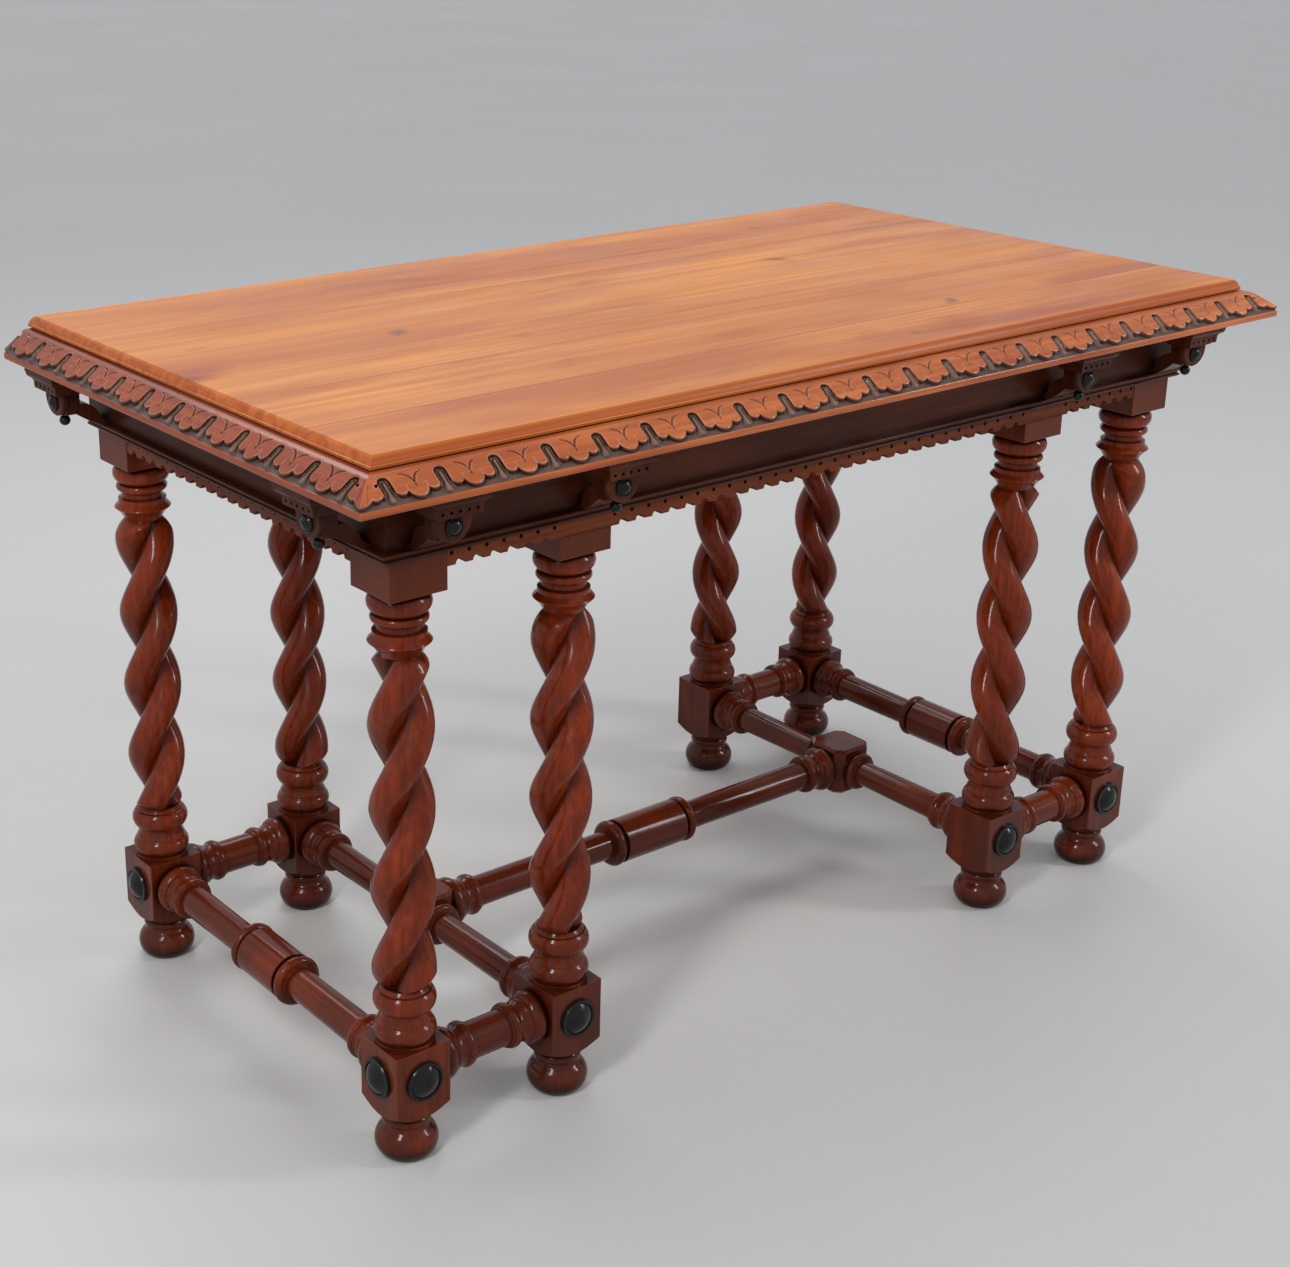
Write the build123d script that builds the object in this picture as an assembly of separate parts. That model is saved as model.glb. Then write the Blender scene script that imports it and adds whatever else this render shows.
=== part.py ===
from build123d import *
import math
import os

# Communion table, millimetres.  X runs along the table, the carved front faces -Y and
# Z is up.  Shapes are laid out about the middle of the leg rows; save() then moves them
# so that the origin is on the floor under the middle of the whole table.

# ---- Overall sizes ------------------------------------------------------------
TABLE_HEIGHT = 780.0
LIP_HALF_X = 660.5            # outermost edge of the carved moulding, at the two ends
LIP_Y = 371.0                 # outermost edge of the carved moulding, at the front
EDGE_OVERHANG = 32.5          # carved moulding beyond the foot of the board's own edge
FRIEZE_INSET = 78.0           # lip to face of the frieze

# ---- Top ----------------------------------------------------------------------
BOARD_BOTTOM = 759.0
ARRIS_INSET = 6.0             # edge of the top surface, in from the foot of the board's edge
EDGE_FOOT_Z = 768.6
GROOVE = 3.6                  # depth of the shadow groove under the board's moulded edge
SEAMS_Y = (-227.0, -106.0, 159.0)
SEAM_V = 0.6
CARVING_TOP = 767.0
CARVING_BULGE = 5.0
LIP_TOP = 744.0
LIP_BOTTOM = 737.0
BACK_Y = 334.0                # plain back face below the boards
FOOT_HALF_X = LIP_HALF_X - EDGE_OVERHANG
FOOT_Y = LIP_Y - EDGE_OVERHANG

# ---- Frieze, its lower moulding and the pierced apron ---------------------------
FRIEZE_X = LIP_HALF_X - FRIEZE_INSET
FRIEZE_Y = LIP_Y - FRIEZE_INSET
FRIEZE_BOTTOM = 659.5
FRIEZE_THICK = 22.0
MOULDING_TOP = 671.5
MOULDING_REACH = 10.0
APRON_BOTTOM = 641.5
APRON_THICK = 17.0
APRON_SETBACK = 1.0
NOTCH_PITCH = 21.8
NOTCH_RADIUS = 5.8
ARCH_Z = 641.3                # centre of the round top of each notch
HOLE_RADIUS = 2.3
HOLE_Z = 653.8

# ---- Legs ---------------------------------------------------------------------
LEG_X_OUTER = 543.0
LEG_X_INNER = 344.5
LEG_Y = 255.5
BLOCK = 66.0
BLOCK_ARRIS = 0.8
STILE = 46.0                  # square top of the leg, inside the frieze
CAPITAL_BOTTOM = 618.5
FOOT_BLOCK_TOP = 133.0
FOOT_CONE_BOTTOM = 48.0
FOOT_CONE_TOP = 63.5
TWIST_BOTTOM = 196.0
TWIST_TOP = 553.0
STRAND_RADIUS = 19.1          # each of the two strands, in a level section
STRAND_OFFSET = 13.8          # strand centre from the leg's axis
TWIST_LEAD = 176.6            # rise of one full turn
TWIST_ANGLE = 146.0           # direction of a strand, seen from above, at TWIST_LEVEL
TWIST_LEVEL = 479.0

# ---- Stretchers ---------------------------------------------------------------
STRETCHER_Z = 97.5
TENON_RADIUS = 10.0
TENON_LENGTH = 16.0
TENON_GAP = 0.1
HUB = 62.0                    # square block where the middle stretcher meets an inner one
HUB_CHAMFER = 11.0            # its upright corners
HUB_EASING = 3.5

# ---- Brackets under the edge, depths measured outwards from the frieze ------------
BRACKET_HALF = 16.5
BLOCK_BACK = 29.0
BLOCK_FRONT = 46.0
BLOCK_BOTTOM = 689.5
COLLAR_BOTTOM = 712.5
PLATE_FACE = 51.0
PLATE_RADIUS = 21.0
PLATE_BOTTOM = 687.0
CAP_FRONT = 68.0
CAP_HALF = 32.5
END_EXTRA = 8.0               # the brackets at the two ends reach further out
BOSS_Z = 702.3
PENDANT_DEPTH = 40.0
PENDANT_Z = 680.3
PENDANT_RADIUS = 6.0

# ---- Hidden construction ----------------------------------------------------------
BATTEN_X = 172.0
BATTEN_WIDTH = 60.0
SCREW_YS = (-249.0, -166.0, 26.0, 215.0)

ORIGIN_SHIFT = (LIP_Y - FOOT_Y) / 2
BLOCK_HALF = BLOCK / 2
HUB_HALF = HUB / 2
RAIL_INNER_X = FRIEZE_X - FRIEZE_THICK
RAIL_INNER_Y = FRIEZE_Y - FRIEZE_THICK
STEM_RADIUS = 1.5
NECK_RADIUS = 2.4
SMALL_PIN = 2.5
LARGE_PIN = 6.0
PIN_LENGTH = 7.0


def save(name, *pieces):
    """Write one node; several pieces stay separate solids in the same node."""
    solids = [Pos(0, ORIGIN_SHIFT, 0) * solid for piece in pieces for solid in piece.solids()]
    shape = solids[0] if len(solids) == 1 else Compound(solids)
    shape.label = name
    export_step(shape, f"parts/{name}.step")


def block(x0, x1, y0, y1, z0, z1):
    """Rectangular solid between two corners."""
    solid = Box(x1 - x0, y1 - y0, z1 - z0)
    return Pos((x0 + x1) / 2, (y0 + y1) / 2, (z0 + z1) / 2) * solid


def arc(a, b, bulge=0.0):
    """Step of an outline: a curve to (a, b) standing out by bulge on its right-hand side."""
    return ((a, b), bulge)


def outline_edge(start, end, bulge, place):
    """Line or arc between two pairs; place puts a pair in space."""
    if not bulge:
        return Line(place(start), place(end))
    run_a = end[0] - start[0]
    run_b = end[1] - start[1]
    length = math.hypot(run_a, run_b)
    middle = ((start[0] + end[0]) / 2 + bulge * run_b / length,
              (start[1] + end[1]) / 2 - bulge * run_a / length)
    return ThreePointArc(place(start), place(middle), place(end))


def outline_face(steps, place):
    """Closed face through the steps; the last one is joined to the first by a line."""
    edges = []
    here = steps[0]
    for step in steps[1:] + [steps[0]]:
        point, bulge = step if isinstance(step[0], tuple) else (step, 0.0)
        if point != here:
            edges.append(outline_edge(here, point, bulge, place))
        here = point
    return make_face(edges)


def upright(pair):
    """(distance to the right, height) in the plane of the X and Z axes."""
    return (pair[0], 0.0, pair[1])


def forward(pair):
    """(distance to the front, height) in the plane of the Y and Z axes."""
    return (0.0, -pair[0], pair[1])


def turned(steps):
    """Solid of revolution about Z through (radius, height) steps, flat at both ends."""
    last = steps[-1][0] if isinstance(steps[-1][0], tuple) else steps[-1]
    closed = [(0.0, steps[0][1])] + list(steps) + [(0.0, last[1])]
    return revolve(outline_face(closed, upright), Axis.Z)


def front_strip(steps, half_length):
    """Straight moulding along the front from a (distance to the front, height) section."""
    strip = extrude(outline_face(steps, forward), half_length * 2, dir=(1, 0, 0))
    return Pos(-half_length, 0, 0) * strip


def left_strip(steps, front_end, back_end):
    """Straight moulding along the left end, running from -front_end to back_end in Y."""
    turned_round = Rot(0, 0, -90) * front_strip(steps, (front_end + back_end) / 2)
    return Pos(0, (back_end - front_end) / 2, 0) * turned_round


def mirror_x(shape):
    """Right-hand copy of a left-hand piece."""
    return mirror(shape, about=Plane.YZ)


def mitre_side(corner_x, corner_y, front):
    """Everything on one side of the mitre through the front left corner at (-x, -y)."""
    far = 1500.0
    near = (-corner_x - 100, -corner_y - 100)
    third = (far - corner_x, near[1]) if front else (near[0], far - corner_y)
    face = make_face(Polyline(near, (far - corner_x, far - corner_y), third, close=True))
    return extrude(face, 900, dir=(0, 0, 1))


def mitred_mouldings(section, face_x, face_y, reach, back):
    """Front moulding and left end moulding, mitred in front and square at the back."""
    corner = (face_x, face_y)
    front = front_strip(section(face_y), face_x + reach)
    front &= mitre_side(*corner, True)
    front &= mirror_x(mitre_side(*corner, True))
    left = left_strip(section(face_x), face_y + reach, back)
    left &= mitre_side(*corner, False)
    return front, left


# ---- Top -----------------------------------------------------------------------

def board_section(foot):
    """Half section of the top with its moulded edge."""
    return [
        (0.0, BOARD_BOTTOM), (foot - GROOVE, BOARD_BOTTOM), (foot - GROOVE, EDGE_FOOT_Z),
        (foot, EDGE_FOOT_Z), (foot, EDGE_FOOT_Z + 2.6), (foot - 0.9, EDGE_FOOT_Z + 3.0),
        arc(foot - ARRIS_INSET, TABLE_HEIGHT - 0.4, 0.9),
        (foot - ARRIS_INSET - 0.4, TABLE_HEIGHT), (0.0, TABLE_HEIGHT),
    ]


def top_boards(screw_holes):
    """Four boards with a fine V along each seam, drilled underneath for the screws."""
    along = front_strip(board_section(FOOT_Y), FOOT_HALF_X + 1)
    across = left_strip(board_section(FOOT_HALF_X), FOOT_Y + 1, FOOT_Y + 1)
    blank = (along + mirror(along, about=Plane.XZ)) & (across + mirror_x(across))
    for seam in SEAMS_Y:
        blank -= Pos(0, seam, TABLE_HEIGHT) * Rot(45, 0, 0) * Box(1400, SEAM_V, SEAM_V)
    for hole in screw_holes:
        blank -= hole
    limits = (-400.0,) + SEAMS_Y + (400.0,)
    return [blank & block(-700, 700, front, back, 700, 800)
            for front, back in zip(limits[:-1], limits[1:])]


def edge_section(face):
    """Section of the carved moulding, from the frieze face out to the lip."""
    lip = face + FRIEZE_INSET
    foot = lip - EDGE_OVERHANG
    return [
        (face, LIP_BOTTOM), (lip - 0.6, LIP_BOTTOM), (lip, LIP_BOTTOM + 0.6),
        (lip, LIP_TOP - 0.8), (lip - 1.2, LIP_TOP), arc(foot, CARVING_TOP, CARVING_BULGE),
        (foot - GROOVE, CARVING_TOP), (foot - GROOVE, BOARD_BOTTOM), (face, BOARD_BOTTOM),
    ]


# ---- Frieze ---------------------------------------------------------------------

def frieze_rails():
    """Long rails run through at front and back; the end rails stand between them."""
    heights = (FRIEZE_BOTTOM, BOARD_BOTTOM)
    front = block(-FRIEZE_X, FRIEZE_X, -FRIEZE_Y, -RAIL_INNER_Y, *heights)
    back = block(-FRIEZE_X, FRIEZE_X, RAIL_INNER_Y, FRIEZE_Y, *heights)
    left = block(-FRIEZE_X, -RAIL_INNER_X, -RAIL_INNER_Y, RAIL_INNER_Y, *heights)
    return front, back, left


def frieze_moulding_section(face):
    """Small bead below, hollow, and a rounded fillet above."""
    reach = face + MOULDING_REACH
    return [
        (face, FRIEZE_BOTTOM), (face + 2.0, FRIEZE_BOTTOM), arc(face + 2.0, 663.0, 1.6),
        (face + 1.5, 663.4), arc(reach - 3.0, 667.6, -1.6), (reach - 1.4, 668.0),
        arc(reach - 1.4, MOULDING_TOP, 1.4), (face, MOULDING_TOP),
    ]


def notch_row(start, end):
    """Centres and pitch of the notches between a tooth at start and a tooth at end."""
    tooth = NOTCH_PITCH - 2 * NOTCH_RADIUS
    count = round((end - start - tooth) / NOTCH_PITCH)
    pitch = (end - start - tooth) / count
    first = start + tooth / 2 + pitch / 2
    return [first + pitch * i for i in range(count)], pitch


def notch(x):
    """Round-topped notch, open at the bottom edge."""
    return Pos(x, ARCH_Z) * Circle(NOTCH_RADIUS) + Pos(x, ARCH_Z - 5) * Rectangle(NOTCH_RADIUS * 2, 10)


def apron(half_length, pierced, face):
    """Strip facing the front, pierced along the stretches given as (start, end)."""
    height = FRIEZE_BOTTOM - APRON_BOTTOM
    sheet = Pos(0, APRON_BOTTOM + height / 2) * Rectangle(half_length * 2, height)
    for start, end in pierced:
        centres, pitch = notch_row(start, end)
        teeth = [centres[0] - pitch / 2] + [x + pitch / 2 for x in centres]
        sheet -= [notch(x) for x in centres]
        sheet -= [Pos(x, HOLE_Z) * Circle(HOLE_RADIUS) for x in teeth]
    solid = extrude(Plane.XZ * sheet, APRON_THICK, dir=(0, 1, 0))
    return Pos(0, -face, 0) * solid


def front_apron():
    """Runs between the corner legs and is plain where it passes the inner ones."""
    outer = LEG_X_OUTER - BLOCK_HALF
    near = LEG_X_INNER - BLOCK_HALF
    far = LEG_X_INNER + BLOCK_HALF
    pierced = [(-outer, -far), (-near, near), (far, outer)]
    return apron(outer, pierced, LEG_Y + BLOCK_HALF - APRON_SETBACK)


def left_apron():
    """Fits between the two legs of the left end."""
    half = LEG_Y - BLOCK_HALF
    return Rot(0, 0, -90) * apron(half, [(-half, half)], LEG_X_OUTER + BLOCK_HALF - APRON_SETBACK)


# ---- Brackets, built at the front with the frieze face at y = 0 --------------------

def bracket_body(extra):
    """Block, S-shaped arm and round-ended plate."""
    back = BLOCK_BACK + extra
    front = BLOCK_FRONT + extra
    steps = [
        (0.0, MOULDING_TOP), (MOULDING_REACH - 0.5, MOULDING_TOP),
        arc(front - 12.0, BLOCK_BOTTOM, 1.2), (front, BLOCK_BOTTOM), (front, COLLAR_BOTTOM),
        (back, COLLAR_BOTTOM), (back, 700.0), arc(9.0 + extra / 2, 682.0, 5.2),
        arc(0.0, MOULDING_TOP + 1.5, -1.5),
    ]
    body = Pos(-BRACKET_HALF, 0, 0) * extrude(outline_face(steps, forward), BRACKET_HALF * 2, dir=(1, 0, 0))
    return body + bracket_plate(front, PLATE_FACE + extra)


def bracket_plate(back, face):
    """Bowl-shaped plate with a chamfered rim, from depth back to depth face."""
    centre = PLATE_BOTTOM + PLATE_RADIUS
    below = Pos(0, COLLAR_BOTTOM - PLATE_RADIUS) * Rectangle(PLATE_RADIUS * 2, PLATE_RADIUS * 2)
    sheet = Pos(0, centre) * Circle(PLATE_RADIUS) & below
    plate = Pos(0, -back, 0) * extrude(Plane.XZ * sheet, face - back, dir=(0, -1, 0))
    rim = plate.edges().filter_by(GeomType.CIRCLE).sort_by(Axis.Y)[0]
    return chamfer(rim, 1.2)


def bracket(extra):
    """Body drilled for the pin of its boss and the stem of its pendant."""
    body = bracket_body(extra)
    pin = Rot(90, 0, 0) * Cylinder(SMALL_PIN + TENON_GAP, 2 * PIN_LENGTH + 1)
    stem = Cylinder(STEM_RADIUS + TENON_GAP, 20)
    body -= Pos(0, -PLATE_FACE - extra, BOSS_Z) * pin
    return body - Pos(0, -PENDANT_DEPTH - extra, BLOCK_BOTTOM) * stem


def cap_side(half):
    """Upright edge of the cap as steps out from half at the collar to the top."""
    return [
        (half - 11.5, COLLAR_BOTTOM), (half - 11.5, 715.0), (half - 7.1, 715.0),
        (half - 6.5, 724.0), (half - 5.5, 724.0), (half - 5.5, 725.5), arc(half - 0.8, 732.5, 1.8),
        (half, 732.5), (half, LIP_BOTTOM),
    ]


def bracket_cap(extra):
    """Moulded cap, pierced band and collar, worked on the front and both sides."""
    back = BLOCK_BACK - 2.0 + extra
    front = [(back, COLLAR_BOTTOM)] + cap_side(CAP_FRONT + extra) + [(back, LIP_BOTTOM)]
    right = [(0.0, COLLAR_BOTTOM)] + cap_side(CAP_HALF) + [(0.0, LIP_BOTTOM)]
    across = Pos(-50, 0, 0) * extrude(outline_face(front, forward), 100, dir=(1, 0, 0))
    along = Pos(0, -100 - extra, 0) * extrude(outline_face(right, upright), 120 + extra, dir=(0, 1, 0))
    cap = across & (along + mirror_x(along))
    for i in range(-2, 3):
        hole = Rot(90, 0, 0) * Cylinder(1.9, 6)
        cap -= Pos(i * 9.7, -CAP_FRONT - extra + 6.5, 719.5) * hole
    return cap


def facing_front(shape, x, face):
    """Set a piece built at y = 0 on the front, face being the distance forward."""
    return Pos(x, -face, 0) * shape


def facing_left(shape, y, face):
    """Set a piece built at y = 0 on the left end."""
    return Pos(-face, y, 0) * Rot(0, 0, -90) * shape


def boss(ring, dome, height, pin):
    """Turned boss: low ring, sunk quirk and shallow dome, with a pin behind."""
    quirk = height * 0.3
    rise = height - quirk
    sphere = (dome ** 2 + rise ** 2) / (2 * rise)
    bulge = sphere - math.sqrt(sphere ** 2 - (dome ** 2 + rise ** 2) / 4)
    steps = [
        (pin, -PIN_LENGTH), (pin, 0.0), (ring, 0.0), (ring, height * 0.3),
        (ring - 0.8, height * 0.42), (dome + 0.6, height * 0.42), (dome, quirk), arc(0.0, height, bulge),
    ]
    return Rot(90, 0, 0) * turned(steps)


def pendant():
    """Ball under a short neck that bears on the block, with a thin stem above."""
    top = BLOCK_BOTTOM - PENDANT_Z
    neck = Pos(0, 0, top - 2.5) * Cylinder(NECK_RADIUS, 5.0)
    stem = Pos(0, 0, top + 4.5) * Cylinder(STEM_RADIUS, 9.0)
    return Pos(0, 0, PENDANT_Z) * (Sphere(PENDANT_RADIUS) + neck + stem)


# ---- Legs -----------------------------------------------------------------------

def twist(quarter_turn):
    """Two strands winding up the leg, tapered into the necks at both ends."""
    angle = TWIST_ANGLE + (TWIST_BOTTOM - TWIST_LEVEL) / TWIST_LEAD * 360 + quarter_turn * 90
    section = Pos(STRAND_OFFSET, 0) * Circle(STRAND_RADIUS) + Pos(-STRAND_OFFSET, 0) * Circle(STRAND_RADIUS)
    height = TWIST_TOP - TWIST_BOTTOM
    guide = Helix(TWIST_LEAD, height, STRAND_OFFSET + STRAND_RADIUS)
    rope = sweep(section, path=Line((0, 0, 0), (0, 0, height)), binormal=guide)
    rope = Pos(0, 0, TWIST_BOTTOM) * Rot(0, 0, angle) * rope
    full = STRAND_OFFSET + STRAND_RADIUS + 0.4
    envelope = [
        (23.6, TWIST_BOTTOM), arc(full, TWIST_BOTTOM + 15, 1.5),
        (full, TWIST_TOP - 22), arc(21.0, TWIST_TOP, 2.0),
    ]
    return rope & turned(envelope)


def bun_foot():
    """Flattened ball and the ring above it."""
    return turned([
        (26.0, 0.0), arc(26.5, 31.0, 7.2), (25.5, 32.0), arc(23.8, 37.0, -0.6), arc(23.5, 46.0, 2.3),
        (23.5, FOOT_CONE_BOTTOM),
    ])


def foot_block():
    """Square block cut to a cone at its foot."""
    body = Pos(0, 0, (FOOT_CONE_BOTTOM + FOOT_BLOCK_TOP) / 2)
    body *= Box(BLOCK, BLOCK, FOOT_BLOCK_TOP - FOOT_CONE_BOTTOM)
    body = chamfer(body.edges().filter_by(Axis.Z), BLOCK_ARRIS)
    return body & turned([(25.0, FOOT_CONE_BOTTOM), (48.0, FOOT_CONE_TOP), (48.0, FOOT_BLOCK_TOP)])


def lower_turning():
    """Bead, hollow and ring between the foot block and the twist."""
    return turned([
        (31.0, FOOT_BLOCK_TOP), (31.0, 136.0), (28.5, 137.0), arc(28.5, 155.0, 4.0),
        (28.0, 155.6), (28.0, 158.0), arc(25.8, 169.4, -1.0), (28.0, 170.0),
        arc(28.0, 190.6, 4.5), (26.2, 191.0), arc(25.4, 194.0, 0.6), (23.6, TWIST_BOTTOM),
    ])


def upper_turning():
    """Sharp disc, necks, ring and torus between the twist and the capital block."""
    return turned([
        (21.0, TWIST_TOP), arc(31.2, 566.2, -1.2), (31.7, 567.0), (31.2, 567.8), (26.9, 572.5),
        (26.9, 577.5), (22.7, 579.5), (22.7, 584.5), (25.0, 586.0), arc(25.0, 595.2, 3.7),
        (24.5, 595.6), arc(24.5, 617.6, 7.4), (27.0, 617.8), (27.0, CAPITAL_BOTTOM),
    ])


def capital_block(passed_by_apron):
    """Square block; the inner front legs are cut back where the apron passes them."""
    body = Pos(0, 0, (CAPITAL_BOTTOM + FRIEZE_BOTTOM) / 2)
    body *= Box(BLOCK, BLOCK, FRIEZE_BOTTOM - CAPITAL_BOTTOM)
    body = chamfer(body.edges().filter_by(Axis.Z), BLOCK_ARRIS)
    if passed_by_apron:
        back = -BLOCK_HALF + APRON_SETBACK + APRON_THICK
        body -= block(-50, 50, -50, back, APRON_BOTTOM, FRIEZE_BOTTOM + 1)
    return body


def tenon_hole(direction):
    """Round mortise into the foot block from one side, direction being an angle in plan."""
    depth = TENON_LENGTH + 0.5
    hole = Rot(0, 90, 0) * Cylinder(TENON_RADIUS + TENON_GAP, depth)
    return Rot(0, 0, direction) * Pos(BLOCK_HALF - depth / 2, 0, STRETCHER_Z) * hole


def boss_hole(direction):
    """Hole for the pin of a foot-block boss."""
    hole = Rot(0, 90, 0) * Cylinder(LARGE_PIN + TENON_GAP, 2 * PIN_LENGTH + 1)
    return Rot(0, 0, direction) * Pos(BLOCK_HALF, 0, STRETCHER_Z) * hole


def left_leg(trunk, is_outer, is_front):
    """One leg of the left half of the table, standing in its place."""
    x = -LEG_X_OUTER if is_outer else -LEG_X_INNER
    y = -LEG_Y if is_front else LEG_Y
    leg = trunk + capital_block(is_front and not is_outer)
    inner_y = RAIL_INNER_Y - LEG_Y
    stile_x = -RAIL_INNER_X - x if is_outer else -STILE / 2
    stile_y = (-inner_y, STILE - inner_y) if is_front else (inner_y - STILE, inner_y)
    leg += block(stile_x, stile_x + STILE, *stile_y, FRIEZE_BOTTOM, BOARD_BOTTOM)
    leg -= tenon_hole(0 if is_outer else 180)
    leg -= tenon_hole(90 if is_front else -90)
    if is_outer:
        leg -= boss_hole(180)
    if is_front:
        leg -= boss_hole(-90)
    return Pos(x, y, 0) * leg


# ---- Stretchers, built along Z about their middle ------------------------------------

def end_turning(length, shaft):
    """Torus, hollow and ring next to a block, then on to the shaft."""
    foot = -length / 2
    return [
        (25.0, foot), arc(25.0, foot + 17, 4.0), (24.0, foot + 17.3), (24.0, foot + 20),
        arc(22.8, foot + 32, -1.6), (23.5, foot + 32.4), arc(23.5, foot + 41, 1.3),
        (22.2, foot + 41.4), (22.2, foot + 43.4), (shaft, foot + 44),
    ]


def barrel_turning(half, radius, shaft):
    """Fillet, ring, groove and barrel as far as the middle."""
    low = radius - 4.6
    return [
        (shaft, -half - 19.0), (shaft + 2.8, -half - 18.7), (shaft + 2.8, -half - 16.0),
        (low, -half - 15.6), arc(low, -half - 3.4, 5.8), (low, -half), (radius - 0.8, -half),
        (radius, -half + 0.8), (radius, 0.0),
    ]


def with_tenons(half, length):
    """Both halves of a stretcher with a tenon at each end."""
    tenon = Cylinder(TENON_RADIUS, TENON_LENGTH)
    half += Pos(0, 0, -(length + TENON_LENGTH) / 2) * tenon
    return half + mirror(half, about=Plane.XY)


def plain_stretcher(length):
    """Short stretcher with a plain round shaft."""
    return with_tenons(turned(end_turning(length, 20.0) + [(20.0, 0.0)]), length)


def barrel_stretcher(length, barrel_half, barrel_radius):
    """Long stretcher with a barrel in the middle of a tapering shaft."""
    steps = end_turning(length, 18.4) + barrel_turning(barrel_half, barrel_radius, 17.8)
    return with_tenons(turned(steps), length)


def hub_stretcher(length):
    """Stretcher with a square block in the middle, its upright corners cut off."""
    hub_side = -HUB_HALF
    steps = end_turning(length, 17.2) + [
        (16.2, hub_side - 16), (19.5, hub_side - 15.6), (19.5, hub_side - 13.4),
        (21.0, hub_side - 13), arc(21.0, hub_side - 3, 4.0), (24.0, hub_side - 2.6), (24.0, hub_side),
    ]
    turning = with_tenons(turned(steps), length)
    hub = chamfer(Box(HUB, HUB, HUB).edges().filter_by(Axis.Y), HUB_CHAMFER)
    rims = hub.faces().filter_by(Axis.Y).edges()
    hub = chamfer(rims, HUB_EASING)
    mortise = Rot(0, 90, 0) * Cylinder(TENON_RADIUS + TENON_GAP, TENON_LENGTH + 0.5)
    hub -= Pos(HUB_HALF - TENON_LENGTH / 2 - 0.25, 0, 0) * mortise
    return turning, hub


def save_stretchers():
    """Four short stretchers, two end ones, two with hubs and the long middle one."""
    short = Rot(0, 90, 0) * plain_stretcher(LEG_X_OUTER - LEG_X_INNER - BLOCK)
    short_x = (LEG_X_OUTER + LEG_X_INNER) / 2
    for row, y in (("front", -LEG_Y), ("back", LEG_Y)):
        for hand, x in (("left", -short_x), ("right", short_x)):
            save(f"stretcher_{row}_{hand}", Pos(x, y, STRETCHER_Z) * short)
    depth = 2 * LEG_Y - BLOCK
    end = Rot(90, 0, 0) * barrel_stretcher(depth, 36.0, 27.3)
    turning, hub = hub_stretcher(depth)
    inner = Rot(90, 0, 0) * (turning + hub)
    for hand, way in (("left", -1), ("right", 1)):
        save(f"stretcher_end_{hand}", Pos(way * LEG_X_OUTER, 0, STRETCHER_Z) * end)
        placed = inner if way < 0 else mirror_x(inner)
        save(f"stretcher_inner_{hand}", Pos(way * LEG_X_INNER, 0, STRETCHER_Z) * placed)
    middle = barrel_stretcher(2 * (LEG_X_INNER - HUB_HALF), 48.0, 27.8)
    save("stretcher_middle", Pos(0, 0, STRETCHER_Z) * Rot(0, 90, 0) * middle)


def save_legs():
    """Eight legs: the right half mirrors the left, except that the back twists start apart."""
    turning = bun_foot() + foot_block() + lower_turning() + upper_turning()
    trunks = {quarter_turn: turning + twist(quarter_turn) for quarter_turn in (False, True)}
    for row, is_front in (("front", True), ("back", False)):
        for place, is_outer in (("outer", True), ("inner", False)):
            left = left_leg(trunks[is_front != is_outer], is_outer, is_front)
            right = left_leg(trunks[not is_outer], is_outer, is_front)
            save(f"leg_{row}_left_{place}", left)
            save(f"leg_{row}_right_{place}", mirror_x(right))


# ---- Hidden construction, brackets and the top ------------------------------------------

def screw(x, y, clearance=0.0):
    """Wood screw driven up through a batten; with clearance it is the hole for one."""
    shank = Pos(x, y, (LIP_BOTTOM + 770) / 2) * Cylinder(2.0 + clearance, 770 - LIP_BOTTOM + 2 * clearance)
    if clearance:
        return shank
    head = Pos(x, y, LIP_BOTTOM - 1.2) * Cylinder(4.2, 2.4)
    slot = Pos(x, y, LIP_BOTTOM - 2.4) * Box(9, 1.0, 1.8)
    return shank + head - slot


def batten(x, holes):
    """Flat batten across the boards between the long rails."""
    half = BATTEN_WIDTH / 2
    body = block(x - half, x + half, -RAIL_INNER_Y, RAIL_INNER_Y, LIP_BOTTOM, BOARD_BOTTOM)
    for hole in holes:
        body -= hole
    return body


def glue_blocks():
    """Triangular blocks in the angle between rails and boards."""
    leg_size = BOARD_BOTTOM - LIP_BOTTOM
    steps = [(0.0, BOARD_BOTTOM), (-leg_size, BOARD_BOTTOM), (0.0, LIP_BOTTOM)]
    wedge = front_strip(steps, 25.0)
    front = [facing_front(wedge, x, RAIL_INNER_Y) for x in (-450, -270, -60, 60, 270, 450)]
    back = [mirror(piece, about=Plane.XZ) for piece in front]
    left = [facing_left(wedge, y, RAIL_INNER_X) for y in (-120, 120)]
    return front + back + left + [mirror_x(piece) for piece in left]


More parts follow.
